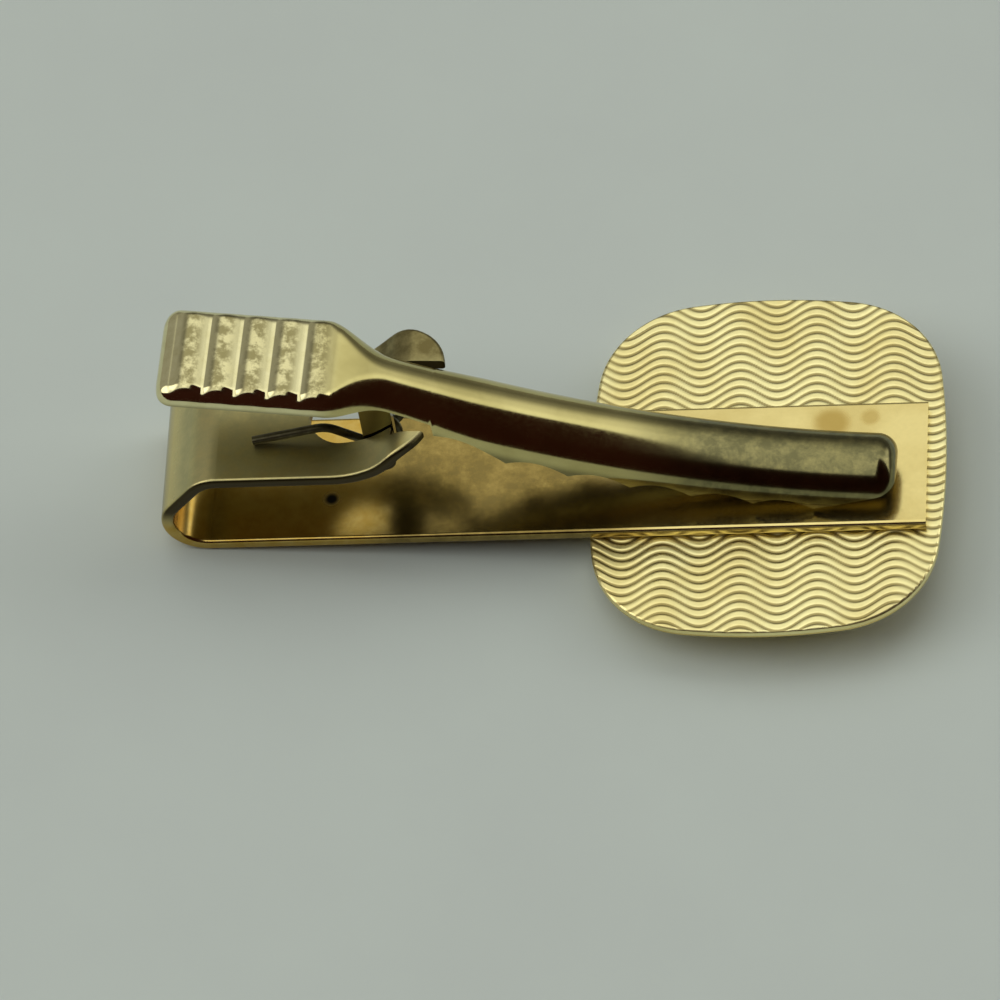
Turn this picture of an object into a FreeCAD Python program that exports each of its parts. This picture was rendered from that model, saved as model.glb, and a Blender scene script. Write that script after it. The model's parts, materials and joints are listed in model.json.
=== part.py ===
import FreeCAD, Part
import math
import os

# A tie clip lying on its face: +X runs from the fold to the plate, +Z points out of the back.
# The origin is the middle of the flat front of the face. Sizes are millimetres and degrees.

# Face and back plate: a cushion outline with four bowed sides
plate_length = 17.9
plate_width = 20.5
plate_end_bow = 0.9
plate_side_bow = 1.1
plate_corner_radius = 5.4
face_height = 1.85
face_sheet = 0.4
face_rim = 0.12
bevel_run = 2.4
bevel_round = 0.5
back_sheet = 0.3
back_edge_round = 0.1

# Bar: one strip, folded over at the far end and returned as an arm
bar_width = 7.5
bar_sheet = 0.65
bar_edge_round = 0.2
bar_end_inset = 0.9
bar_offset = 0.6
fold_reach = 30.0
fold_bend_radius = 1.58
fold_lean = 51.0
arm_bend_radius = 1.32
throat_gap = 4.5

# Cheeks: the arm's forked end, swept up on both sides of the lever
cheek_rise = 1.7
cheek_angle = 40.0
cheek_sweep_radius = 4.0
cheek_crest_radius = 1.2
cheek_flat = 1.5
cheek_far_radius = 2.2
cheek_near_radius = 3.0
cheek_near_back = 0.45
cheek_ahead = 3.15
cheek_flare = 0.45
cheek_flare_run = 2.6
fork_ahead = 0.7
fork_fit = 0.4
slot_behind = 3.7
slot_ahead = 1.2

# Hinge: a headed pin in two lugs turned down from the slot, a little askew on the arm
pivot_reach = 18.6
pivot_below_arm = 0.65
hinge_yaw = -2.5
pin_diameter = 0.8
pin_head_diameter = 1.0
pin_head = 0.25
lug_sheet = 0.6
lug_radius = 0.78
pin_seat_fit = 0.02
pin_running_fit = 0.06
side_fit = 0.1

# Lever: a stamped sheet, with a ribbed thumb pad, a neck and a half-round toothed jaw
lever_sheet = 0.45
pad_reach = 10.6
pad_width = 5.7
pad_corner = 0.8
pad_rim_depth = 0.85
pad_rise = 5.2
pad_rise_at = 2.2
pad_slope = 6.5
pad_end_round = 0.9
rim_depth = 1.1
neck_width = 3.5
neck_from = 2.5
neck_to = -0.7
neck_blend = 0.15
jaw_width = 4.15
jaw_round_share = 0.96
jaw_from = 0.9
jaw_to = 5.5
jaw_reach = 25.3
jaw_end_round = 1.0
neck_rise = 4.6
jaw_tip_slope = 0.03
jaw_gap = 0.35
ear_spread = 3.2
ear_radius = 0.8
end_steps = 5
span_steps = (2, 10, 1, 8, 8)

# Teeth: the scalloped lower edges of the jaw
tooth_count = 6
tooth_pitch = 3.0
tooth_first = 6.2
tooth_depth = 2.35
scallop_depth = 0.5
shoulder_at = 2.75
shoulder_height = 1.35
shoulder_bulge = 0.5
tip_wall = 1.0
tip_bulge = 0.12

# Ribs of the thumb pad
rib_count = 5
rib_pitch = 1.58
rib_radius = 1.2
rib_proud = 0.22
rib_length = 4.4
rib_first = 1.65

# Torsion spring: a coil on the pin, one leg on the arm and one under the pad
wire_diameter = 0.45
coil_fit = 0.1
coil_turns = 1
lower_leg_angle = 42.0
lower_leg_tip = 3.2
lower_leg_bend = 1.2
lower_leg_drop = 8.0
lower_leg_splay = 0.14
upper_leg_angle = 42.0
upper_leg_bend = 1.4
upper_leg_tip = 1.6
leg_gap = 0.03
gap_points = 400

# Cuts run this far past the surfaces that they open
overrun = 1.0

# Levels and places that follow
half = 0.5
back_level = face_height + back_sheet
bar_top = back_level + bar_sheet
arm_top = bar_top + throat_gap + bar_sheet
cheek_top = arm_top + cheek_rise
bar_end_x = plate_length * half - bar_end_inset
pivot_x = -pivot_reach
pivot_z = arm_top - pivot_below_arm
cheek_end_x = pivot_x + cheek_ahead
slot_half = ear_spread * half + side_fit
fork_half = neck_width * half + fork_fit
pivot = FreeCAD.Vector(pivot_x, 0, pivot_z)
up = FreeCAD.Vector(0, 0, 1)
across = FreeCAD.Vector(0, 1, 0)


def vec(x, y, z):
    return FreeCAD.Vector(x, y, z)


def line(a, b):
    return Part.LineSegment(a, b).toShape()


def arc(a, b, c):
    return Part.Arc(a, b, c).toShape()


def closed_face(edges):
    return Part.Face(Part.Wire(Part.__sortEdges__(edges)))


def chain(points):
    return [line(a, b) for a, b in zip(points, points[1:])]


def set_askew(shape):
    """Turns a hinge piece about the upright line through the pivot."""
    shape.rotate(pivot, up, hinge_yaw)
    return shape


def off_middle(shape):
    """Moves a piece of the bar or the hinge to where the bar sits on the face."""
    shape.translate(across * -bar_offset)
    return shape


# Face and back plate

def cushion_wire(inset, z):
    """Cushion outline: four bowed sides, drawn in by an inset and rounded where they meet."""
    end_x = plate_length * half - inset
    side_y = plate_width * half - inset
    cx = end_x - plate_end_bow
    cy = side_y - plate_side_bow
    corners = [vec(cx, cy, z), vec(-cx, cy, z), vec(-cx, -cy, z), vec(cx, -cy, z)]
    middles = [vec(0, side_y, z), vec(-end_x, 0, z), vec(0, -side_y, z), vec(end_x, 0, z)]
    sides = []
    for i, corner in enumerate(corners):
        sides.append(arc(corner, middles[i], corners[(i + 1) % len(corners)]))
    slab = Part.Face(Part.Wire(sides)).extrude(vec(0, 0, overrun))
    uprights = [e for e in slab.Edges if abs(e.Vertexes[0].Z - e.Vertexes[-1].Z) > overrun * half]
    rounded = slab.makeFillet(plate_corner_radius - inset, uprights)
    foot = min(rounded.Faces, key=lambda f: f.CenterOfMass.z)
    return foot.OuterWire


def pan(inset, floor):
    """Solid of the face: a flat front, a bevel all round and a short upright rim."""
    bevel_top = face_height - face_rim
    front = cushion_wire(bevel_run + inset, floor)
    edge = cushion_wire(inset, bevel_top)
    bevel = Part.makeLoft([front, edge], True, True)
    rim = Part.Face(edge).extrude(vec(0, 0, face_height - bevel_top))
    return bevel.fuse(rim).removeSplitter()


def make_face_shell():
    outside = pan(0, 0)
    front_edges = [e for e in outside.Edges if e.BoundBox.ZMax < face_sheet * half]
    outside = outside.makeFillet(bevel_round, front_edges)
    inside = pan(face_sheet, face_sheet)
    lid = Part.Face(cushion_wire(face_sheet, face_height)).extrude(vec(0, 0, overrun))
    return outside.cut(inside).cut(lid)


def make_back_plate():
    plate = Part.Face(cushion_wire(0, face_height)).extrude(vec(0, 0, back_sheet))
    upper = [e for e in plate.Edges if e.BoundBox.ZMin > back_level - back_sheet * half]
    return plate.makeFillet(back_edge_round, upper)


# Folded bar

def strip(start, heading, moves):
    """Face of a bent strip in the XZ plane. Each move is a straight run, then a bend radius and turn.

    Radii are those of the middle line. Returns the face, with the end point and heading.
    """
    side_shift = (bar_sheet * half, -bar_sheet * half)
    tracks = ([], [])
    place = start
    for run, radius, turn in moves:
        ahead = vec(math.cos(heading), 0, math.sin(heading))
        left = vec(-math.sin(heading), 0, math.cos(heading))
        if run:
            for track, shift in zip(tracks, side_shift):
                track.append(line(place + left * shift, place + left * shift + ahead * run))
            place = place + ahead * run
        if turn:
            way = math.copysign(1, turn)
            centre = place + left * (way * radius)
            for track, shift in zip(tracks, side_shift):
                spoke = left * (shift - way * radius)
                stops = []
                for part in (0, half, 1):
                    swing = FreeCAD.Rotation(across, -math.degrees(turn) * part)
                    stops.append(centre + swing.multVec(spoke))
                track.append(arc(*stops))
            swing = FreeCAD.Rotation(across, -math.degrees(turn))
            place = centre + swing.multVec(left * (-way * radius))
            heading = heading + turn
    caps = [line(tracks[0][0].firstVertex().Point, tracks[1][0].firstVertex().Point)]
    caps.append(line(tracks[0][-1].lastVertex().Point, tracks[1][-1].lastVertex().Point))
    return closed_face(tracks[0] + tracks[1] + caps), place, heading


def spread(face, width):
    """A face of the XZ plane made into a solid of that width about the middle plane."""
    solid = face.extrude(across * width)
    solid.translate(across * (-width * half))
    return solid


def arm_plan():
    """Upright prism of the arm seen from above, flared on its far side, with a rounded, slanted end."""
    b = bar_width * half
    wide = b + cheek_flare
    far_r = cheek_far_radius
    near_r = cheek_near_radius
    x0 = -fold_reach - overrun
    x1 = cheek_end_x - far_r
    near_end_x = cheek_end_x - cheek_near_back
    near_x = near_end_x - near_r
    x_flare = x1 - cheek_flare_run
    slant = math.sqrt(half)
    swell = (cheek_flare_run ** 2 + cheek_flare ** 2) / (4 * cheek_flare)
    part_turn = math.asin(cheek_flare_run * half / swell) * half
    along = swell * math.sin(part_turn)
    out = swell * (1 - math.cos(part_turn))
    crossing = vec(x_flare + cheek_flare_run * half, b + cheek_flare * half, 0)
    far_corner = vec(x1 + slant * far_r, wide - far_r + slant * far_r, 0)
    near_corner = vec(near_x + slant * near_r, near_r - b - slant * near_r, 0)
    far_end = vec(cheek_end_x, wide - far_r, 0)
    near_end = vec(near_end_x, near_r - b, 0)
    edges = chain([vec(x_flare, b, 0), vec(x0, b, 0), vec(x0, -b, 0), vec(near_x, -b, 0)])
    edges.append(arc(vec(x_flare, b, 0), vec(x_flare + along, b + out, 0), crossing))
    edges.append(arc(crossing, vec(x1 - along, wide - out, 0), vec(x1, wide, 0)))
    edges.append(arc(vec(x1, wide, 0), far_corner, far_end))
    edges.append(line(far_end, near_end))
    edges.append(arc(near_end, near_corner, vec(near_x, -b, 0)))
    return closed_face(edges).extrude(vec(0, 0, cheek_top + overrun))


def upright_plate(outline_radius, left_level, right_level, y0, y1):
    """Plate in an XZ plane, round about the pivot below and square above, with a slanted top."""
    r = outline_radius
    low = vec(pivot_x, y0, pivot_z - r)
    left_side = vec(pivot_x - r, y0, pivot_z)
    right_side = vec(pivot_x + r, y0, pivot_z)
    left_top = vec(pivot_x - r, y0, left_level)
    right_top = vec(pivot_x + r, y0, right_level)
    edges = chain([right_side, right_top, left_top, left_side])
    edges.append(arc(left_side, low, right_side))
    return closed_face(edges).extrude(across * (y1 - y0))


def pin_bore(radius):
    reach = bar_width
    return Part.makeCylinder(radius, reach, pivot - across * (reach * half), across)


def make_base_bar():
    lean = math.radians(fold_lean)
    ramp = math.radians(cheek_angle)
    r_fold = fold_bend_radius + bar_sheet * half
    r_arm = arm_bend_radius + bar_sheet * half
    r_sweep = cheek_sweep_radius + bar_sheet * half
    r_crest = cheek_crest_radius + bar_sheet * half
    fold_x = -fold_reach + bar_sheet * half + r_fold
    rise = throat_gap + bar_sheet
    lean_run = (rise - r_fold * (1 + math.cos(lean)) - r_arm * (1 - math.cos(lean))) / math.sin(lean)
    ramp_run = (cheek_rise - (r_sweep + r_crest) * (1 - math.cos(ramp))) / math.sin(ramp)
    ramp_length = (r_sweep + r_crest) * math.sin(ramp) + ramp_run * math.cos(ramp)
    ramp_from = cheek_end_x - cheek_flat - ramp_length
    arm_from = fold_x + (r_arm - r_fold) * math.sin(lean) + lean_run * math.cos(lean)

    start = vec(bar_end_x, 0, back_level + bar_sheet * half)
    turn_over = math.pi - lean
    lower, place, heading = strip(start, math.pi, [(bar_end_x - fold_x, r_fold, -turn_over)])
    upper_moves = [(lean_run, r_arm, -lean), (ramp_from - arm_from, r_sweep, ramp)]
    upper_moves += [(ramp_run, r_crest, -ramp), (cheek_flat, 0, 0)]
    upper = strip(place, heading, upper_moves)[0]
    arm = spread(upper, bar_width + 2 * cheek_flare).common(arm_plan())
    bar = spread(lower, bar_width).fuse(arm).cut(fork_prism()).removeSplitter()
    rounded = [e for e in bar.Edges if on_bar_side(e)]
    bar = bar.makeFillet(bar_edge_round, rounded).cut(slot_prism())

    def arm_middle(x):
        """Level of the arm's middle line on its way up to the cheeks."""
        ahead = max(x - ramp_from, 0)
        swept = min(ahead, r_sweep * math.sin(ramp))
        climbed = (ahead - swept) * math.tan(ramp)
        return arm_top - bar_sheet * half + r_sweep - math.sqrt(r_sweep ** 2 - swept ** 2) + climbed

    lug_tops = (arm_middle(pivot_x - lug_radius), arm_middle(pivot_x + lug_radius))
    for y0 in (slot_half, -slot_half - lug_sheet):
        bar = bar.fuse(set_askew(upright_plate(lug_radius, *lug_tops, y0, y0 + lug_sheet)))
    bore = set_askew(pin_bore(pin_diameter * half + pin_seat_fit))
    return bar.cut(bore).removeSplitter()


def on_bar_side(edge):
    """True for the long edges along the two sides of the bar and round the outside of the cheeks."""
    box = edge.BoundBox
    middle = edge.valueAt((edge.FirstParameter + edge.LastParameter) * half)
    at_side = abs(middle.y) > bar_width * half - bar_edge_round * half
    on_cheek = middle.x > cheek_end_x - cheek_near_back - cheek_near_radius and middle.z > arm_top - bar_sheet
    outside = abs(middle.y) > fork_half + bar_edge_round * half
    upright = box.ZLength > bar_sheet * half and box.XLength < bar_edge_round
    crosswise = box.XLength < bar_edge_round * half
    return (at_side or on_cheek and outside) and not upright and not crosswise


def slot_prism():
    """The oval slot in the arm that the lever's ears and the spring pass through."""
    r = slot_half
    x0 = pivot_x - slot_behind
    x1 = pivot_x + slot_ahead
    z = bar_top + throat_gap * half
    edges = chain([vec(x0 + r, r, z), vec(x1, r, z), vec(x1, -r, z), vec(x0 + r, -r, z)])
    edges.append(arc(vec(x0 + r, -r, z), vec(x0, 0, z), vec(x0 + r, r, z)))
    return set_askew(closed_face(edges).extrude(vec(0, 0, cheek_top + overrun - z)))


def fork_prism():
    """The gap between the cheeks that the jaw rises through."""
    x0 = pivot_x + fork_ahead
    z = bar_top + throat_gap * half
    length = cheek_end_x + overrun - x0
    gap = Part.makeBox(length, 2 * fork_half, cheek_top + overrun - z, vec(x0, -fork_half, z))
    return set_askew(gap)


# Hinge pin

def make_hinge_pin():
    shank_half = slot_half + lug_sheet
    low = pivot - across * (shank_half + pin_head)
    pin = Part.makeCylinder(pin_diameter * half, 2 * (shank_half + pin_head), low, across)
    for y in (shank_half, -shank_half - pin_head):
        pin = pin.fuse(Part.makeCylinder(pin_head_diameter * half, pin_head, pivot + across * y, across))
    return set_askew(pin.removeSplitter())


# Lever

def smooth_step(x, x0, x1):
    t = min(max((x - x0) / (x1 - x0), 0), 1)
    return t * t * (3 - 2 * t)


# The jaw's ridge is a parabola from the tip up to the neck, low enough for the last tooth to near the bar
tooth_last = tooth_first + (tooth_count - 1) * tooth_pitch
tip_to_tooth = jaw_reach - tooth_last
tooth_top = bar_top + jaw_gap + tooth_depth
neck_level = pivot_z + neck_rise
bend_share = (tip_to_tooth / jaw_reach) ** 2
jaw_fall = neck_level - jaw_tip_slope * (jaw_reach - tip_to_tooth) - tooth_top
bent_rise = jaw_fall / (1 - bend_share)
tip_top = neck_level - jaw_tip_slope * jaw_reach - bent_rise


def ridge(s):
    """Level of the lever's top line: a straight pad that runs softly into the curved jaw."""
    u = jaw_reach - s
    jaw = tip_top + jaw_tip_slope * u + bent_rise * (u / jaw_reach) ** 2
    pad = pivot_z + pad_rise - math.tan(math.radians(pad_slope)) * (s + pad_rise_at)
    gap = abs(pad - jaw)
    return min(pad, jaw) - neck_blend * math.log(1 + math.exp(-gap / neck_blend))


def half_width(s):
    pad_to_neck = (neck_width - pad_width) * half * smooth_step(s, -neck_from, -neck_to)
    neck_to_jaw = (jaw_width - neck_width) * half * smooth_step(s, jaw_from, jaw_to)
    return pad_width * half + pad_to_neck + neck_to_jaw


def lever_section(s, inset, drawn_in, floor):
    """Section across the lever: upright sides, rounded corners and a top, nearly a half round on the jaw."""
    full = half_width(s)
    w = full - inset - drawn_in
    turned = smooth_step(s, -neck_from, -neck_to)
    corner = pad_corner + (full * jaw_round_share - pad_corner) * turned - inset
    corner = corner * w / (full - inset)
    top = ridge(s) - inset - drawn_in
    x = pivot_x + s
    slant = corner * math.sqrt(half)
    sides = []
    for way in (1, -1):
        y = way * (w - corner)
        on_side = vec(x, way * w, top - corner)
        on_top = vec(x, y, top)
        bend = arc(on_side, vec(x, y + way * slant, top - corner + slant), on_top)
        sides.append((vec(x, way * w, floor), on_side, on_top, bend))
    (foot_a, side_a, top_a, bend_a), (foot_b, side_b, top_b, bend_b) = sides
    edges = [line(foot_a, side_a), bend_a, line(top_a, top_b), bend_b]
    return Part.Wire(edges + [line(side_b, foot_b), line(foot_b, foot_a)])


def stations(pad_from, jaw_end):
    """Places along the lever, closest together where its section changes most."""
    knees = (pad_from, -neck_from, -neck_to, jaw_from, jaw_to, jaw_end)
    places = [pad_from]
    for a, b, count in zip(knees, knees[1:], span_steps):
        places += [a + (b - a) * (i + 1) / count for i in range(count)]
    return places


def lever_form(inset):
    """Solid under the lever's top, drawn in by an inset and rounded at both ends."""
    floor = bar_top - jaw_width - inset
    pad_from = pad_end_round - pad_reach
    jaw_end = jaw_reach - jaw_end_round
    spans = [lever_section(s, inset, 0, floor) for s in stations(pad_from, jaw_end)]
    form = Part.makeLoft(spans, True, True)
    for s, way, radius in ((pad_from, -1, pad_end_round), (jaw_end, 1, jaw_end_round)):
        r = radius - inset
        rings = []
        for i in range(end_steps + 1):
            a = math.pi * half * i / end_steps
            rings.append(lever_section(s + way * r * math.sin(a), inset, r * (1 - math.cos(a)), floor))
        form = form.fuse(Part.makeLoft(rings, True, True))
    return form.removeSplitter()


def lower_edge_region():
    """Everything above the lever's lower edge, seen from the side: rim, shoulder, teeth and tip."""
    def at(s, z):
        return vec(pivot_x + s, 0, z)

    def bowed(a, b, bulge):
        middle = (a + b) * half
        return arc(a, middle + vec(0, 0, bulge), b)

    rim_from = at(-pad_reach - overrun, ridge(-pad_reach - overrun) - pad_rim_depth)
    rim_knee = at(-neck_from, ridge(-neck_from) - pad_rim_depth)
    rim_neck = at(jaw_from, ridge(jaw_from) - rim_depth)
    rim_to = at(shoulder_at, ridge(shoulder_at) - rim_depth)
    shoulder = at(shoulder_at, ridge(shoulder_at) - rim_depth - shoulder_height * half)
    teeth = []
    for i in range(tooth_count):
        s = tooth_first + i * tooth_pitch
        teeth.append(at(s, ridge(s) - tooth_depth))
    tip = at(jaw_reach + overrun, ridge(jaw_reach) - tip_wall)
    ceiling = pivot_z + pad_rise + pad_reach
    edges = chain([rim_from, rim_knee])
    edges.append(bowed(rim_knee, rim_neck, tip_bulge))
    edges += chain([rim_neck, rim_to, shoulder])
    edges.append(bowed(shoulder, teeth[0], shoulder_bulge))
    for a, b in zip(teeth, teeth[1:]):
        edges.append(bowed(a, b, scallop_depth))
    edges.append(bowed(teeth[-1], tip, tip_bulge))
    edges += chain([tip, vec(tip.x, 0, ceiling), vec(rim_from.x, 0, ceiling), rim_from])
    return spread(closed_face(edges), pad_width * 2)


def pad_rib(s):
    """A low round bar across the pad that sinks into its top towards both ends."""
    crest = vec(pivot_x + s, 0, ridge(s) + rib_proud)
    fade_radius = (rib_length * half) ** 2 / (2 * rib_proud)
    along = vec(1, 0, 0)
    low = crest - up * rib_radius - across * (rib_length * half)
    bar = Part.makeCylinder(rib_radius, rib_length, low, across)
    start = crest - up * fade_radius - along * rib_radius
    return bar.common(Part.makeCylinder(fade_radius, 2 * rib_radius, start, along))


def make_lever():
    outside = lever_form(0)
    pressed = outside
    for i in range(rib_count):
        pressed = pressed.fuse(pad_rib(rib_first - pad_reach + i * rib_pitch))
    lever = pressed.cut(lever_form(lever_sheet)).common(lower_edge_region())
    for y0 in (ear_spread * half - lever_sheet, -ear_spread * half):
        ear = upright_plate(ear_radius, ridge(0), ridge(0), y0, y0 + lever_sheet)
        lever = lever.fuse(ear.common(outside))
    return set_askew(lever.cut(pin_bore(pin_diameter * half + pin_running_fit)))


# Torsion spring

def biarc(p0, t0, p1, t1):
    """Two arcs that join two points along their directions."""
    v = p1 - p0
    t = t0 + t1
    k = 2 * (1 - t0.dot(t1))
    b = v.dot(t)
    d = (math.sqrt(b * b + k * v.dot(v)) - b) / k
    joint = (p0 + p1 + (t0 - t1) * d) * half
    arcs = []
    for a, apex, c in ((p0, p0 + t0 * d, joint), (joint, p1 - t1 * d, p1)):
        weight = (c - a).Length * half / d
        crest = ((a + c) * half + apex * weight) * (1 / (1 + weight))
        arcs.append(arc(a, crest, c))
    return arcs


def least_gap(path, apart):
    """Least gap of the wire to itself, between points that lie some way apart along it."""
    points = path.discretize(Number=gap_points)
    skip = math.ceil(apart * gap_points / path.Length)
    least = path.Length
    for i, a in enumerate(points):
        for b in points[i + skip:]:
            least = min(least, a.distanceToPoint(b))
    return least - wire_diameter


def make_spring():
    r = (pin_diameter + wire_diameter) * half + coil_fit
    y_end = ear_spread * half - lever_sheet - side_fit - wire_diameter * half
    a0 = math.pi * 3 * half - math.radians(lower_leg_angle)
    a1 = math.pi * half - math.radians(upper_leg_angle) + math.tau * (coil_turns + 1)
    sweep = a1 - a0
    lead = lower_leg_splay * sweep * r

    def on_coil(t):
        a = a0 + sweep * t
        y = -y_end + 2 * y_end * t * t * (3 - 2 * t) + lead * t * (1 - t) ** 2
        pace = 12 * y_end * t * (1 - t) + lead * (1 - t) * (1 - 3 * t)
        place = pivot + vec(r * math.cos(a), y, r * math.sin(a))
        way = vec(-r * sweep * math.sin(a), pace, r * sweep * math.cos(a))
        return place, way.normalize()

    quarters = round(sweep / (math.pi * half))
    stops = [on_coil(i / quarters) for i in range(quarters + 1)]

    # Lower leg: up through the slot, bent over, with its tip on the arm
    first, first_way = stops[0]
    drop = lower_leg_angle + lower_leg_drop
    toe_way = FreeCAD.Rotation(across, -drop).multVec(first_way)
    turn_run = lower_leg_bend * math.tan(math.radians(drop * half))
    toe_level = arm_top + leg_gap + wire_diameter * half * math.cos(math.radians(lower_leg_drop))
    knee_level = toe_level + toe_way.z * lower_leg_tip + (toe_way.z + first_way.z) * turn_run
    knee = first + first_way * ((knee_level - first.z) / first_way.z)
    foot = knee - (first_way + toe_way) * turn_run
    toe = foot - toe_way * lower_leg_tip

    # Upper leg: up behind the pin, bent over to lie along the underside of the pad
    last, last_way = stops[-1]
    bend = upper_leg_angle - pad_slope
    rest_way = FreeCAD.Rotation(across, -bend).multVec(last_way)
    turn_run = upper_leg_bend * math.tan(math.radians(bend * half))
    slope = math.radians(pad_slope)
    pad_up = vec(math.sin(slope), 0, math.cos(slope))
    underside = pivot + vec(-pad_rise_at, 0, pad_rise - lever_sheet)
    short_of_pad = (underside - last).dot(pad_up) - wire_diameter * half - leg_gap
    upper_leg_run = short_of_pad / last_way.dot(pad_up) - turn_run
    crook = last + last_way * upper_leg_run
    rest = crook + (last_way + rest_way) * turn_run

    edges = [line(toe, foot)]
    edges += biarc(foot, toe_way, knee, first_way)
    edges.append(line(knee, first))
    for (p0, t0), (p1, t1) in zip(stops, stops[1:]):
        edges += biarc(p0, t0, p1, t1)
    edges.append(line(last, crook))
    edges += biarc(crook, last_way, rest, rest_way)
    edges.append(line(rest, rest + rest_way * upper_leg_tip))
    path = Part.Wire(edges)
    ring = Part.Wire([Part.Circle(toe, toe_way, wire_diameter * half).toShape()])
    print("spring wire length", round(path.Length, 2), "least gap", round(least_gap(path, math.pi * r), 3))
    return set_askew(path.makePipeShell([ring], True, False))


os.makedirs("parts", exist_ok=True)
nodes = {
    "face_shell": make_face_shell(),
    "back_plate": make_back_plate(),
    "base_bar": off_middle(make_base_bar()),
    "hinge_pin": off_middle(make_hinge_pin()),
    "lever": off_middle(make_lever()),
    "torsion_spring": off_middle(make_spring()),
}
for name, shape in nodes.items():
    print(name, shape.ShapeType, len(shape.Solids), shape.isValid(), round(shape.Volume, 3))
    shape.exportStep("parts/" + name + ".step")
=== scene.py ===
"""A gilt tie clip that lies on its face, seen from its back. Sizes are millimetres and degrees."""

import json
import math

import bmesh
import bpy
from mathutils import Matrix, Vector


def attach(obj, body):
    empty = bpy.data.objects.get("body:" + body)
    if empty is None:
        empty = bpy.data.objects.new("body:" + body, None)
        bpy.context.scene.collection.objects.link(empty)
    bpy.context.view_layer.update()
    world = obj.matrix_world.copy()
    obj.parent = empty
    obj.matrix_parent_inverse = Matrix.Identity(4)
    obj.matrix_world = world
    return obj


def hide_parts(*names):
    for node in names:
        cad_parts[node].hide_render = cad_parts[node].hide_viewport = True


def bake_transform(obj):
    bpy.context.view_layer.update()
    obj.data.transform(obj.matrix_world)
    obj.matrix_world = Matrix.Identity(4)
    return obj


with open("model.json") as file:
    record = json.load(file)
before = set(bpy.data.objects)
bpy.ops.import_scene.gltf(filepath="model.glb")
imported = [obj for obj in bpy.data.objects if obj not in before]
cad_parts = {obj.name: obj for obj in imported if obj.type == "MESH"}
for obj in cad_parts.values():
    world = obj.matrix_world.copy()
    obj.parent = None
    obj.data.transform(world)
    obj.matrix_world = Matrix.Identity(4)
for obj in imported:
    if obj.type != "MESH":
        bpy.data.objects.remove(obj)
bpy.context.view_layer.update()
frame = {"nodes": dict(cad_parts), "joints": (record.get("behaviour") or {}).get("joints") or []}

# The frame is in metres
mm = 0.001
half = 0.5
rounding = 1e-9

# Camera: fitted to the bar's parallel edges and the face's outline, in a square picture
camera_tilt = 54.0
camera_swing = 8.57
camera_roll = 8.57
camera_distance = 451.4
camera_lens = 324.0
camera_sensor = 36.0
camera_clip = 10000.0
picture_half = 500.0
picture_scale = 19.94
origin_pixel = (771.1, 488.5)

# Floor: it touches the face's edge and the fold. A noise is (features per millimetre, detail, roughness)
floor_size = 900.0
floor_touch = (-6.5, -0.01)
fold_touch = (-27.8, 2.13)
floor_noise = (0.05, 5, 0.6)
floor_span = (0.3, 0.7)
floor_deep = (0.64, 0.70, 0.67)
floor_pale = (0.67, 0.74, 0.70)
floor_roughness = 0.85

# Light of the studio by its lean from straight up, towards the far side
overhead = (1.15, 1.17, 1.10)
sky_colours = [
    (-180, overhead),
    (30, overhead),
    (44, (0.74, 0.75, 0.69)),
    (58, (0.30, 0.30, 0.28)),
    (75, (0.14, 0.14, 0.13)),
    (90, (0.20, 0.20, 0.18)),
    (180, (0.20, 0.20, 0.18)),
]
dim_left = (0.30, 0.30, 0.28)
left_light = (1.70, 1.70, 1.62)
right_light = (1.80, 1.80, 1.71)
backdrop = (0.42, 0.47, 0.42)

# Where these lights set in: by the direction's part along X or Z, and by its lean
dim_left_span = (-0.2, -0.4)
left_light_span = (-0.3, -0.5)
left_light_lean = (26.0, 12.0)
right_light_span = (0.6, 0.8)
lifted_span = (0.1, 0.3)

# The viewer's side is dark, up to an edge that leans away towards the right
viewer_dark = (0.024, 0.007, 0.005)
viewer_edge = -33.0
viewer_edge_soft = 4.0
viewer_edge_rise = 53.0
viewer_rise_span = (0.08, 0.42)

# Face and back plate
plate_length = 17.9
plate_width = 20.5
plate_end_bow = 0.9
plate_side_bow = 1.1
plate_corner_radius = 5.4
face_height = 1.85
back_level = 2.15
back_edge_round = 0.1
back_columns = 150
back_rows = 440
edge_steps = 4
plate_sharp_angle = 60.0

# Engine turning: wavy furrows along the plate
furrow_pitch = 0.525
furrow_depth = 0.03
furrow_land = 0.45
furrow_phase = 0.57
wave_length = 3.867
wave_swing = 0.45
wave_crest = -1.41
turning_angle = 1.55

# Lever, along the distance s ahead of the pivot
bar_top = 2.8
lever_sheet = 0.45
pad_reach = 10.6
pad_width = 5.7
pad_corner = 0.8
pad_rim_depth = 0.85
pad_rise = 5.2
pad_rise_at = 2.2
pad_slope = 6.5
pad_end_round = 0.9
rim_depth = 1.1
neck_width = 3.5
neck_from = 2.5
neck_to = -0.7
neck_blend = 0.15
jaw_width = 4.15
jaw_round_share = 0.96
jaw_from = 0.9
jaw_to = 5.5
jaw_reach = 25.3
jaw_end_round = 1.0
neck_rise = 4.6
jaw_tip_slope = 0.03
jaw_gap = 0.35
tooth_count = 6
tooth_pitch = 3.0
tooth_first = 6.2
tooth_depth = 2.35
scallop_depth = 0.5
shoulder_at = 2.75
shoulder_height = 1.35
shoulder_bulge = 0.5
shoulder_step = 0.04
tip_wall = 1.0
tip_bulge = 0.12
tip_overrun = 1.0
rib_count = 5
rib_pitch = 1.58
rib_proud = 0.21
rib_first = 1.65
rib_flat = 2.1
rib_end = 2.8
ear_spread = 3.2
ear_radius = 0.8
ear_sink = 0.06
edge_break = 0.06
lever_step = 0.12
end_zone = 3.0
end_rows = 10
side_points = 36
ear_steps = 12
lever_sharp_angle = 50.0

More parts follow.
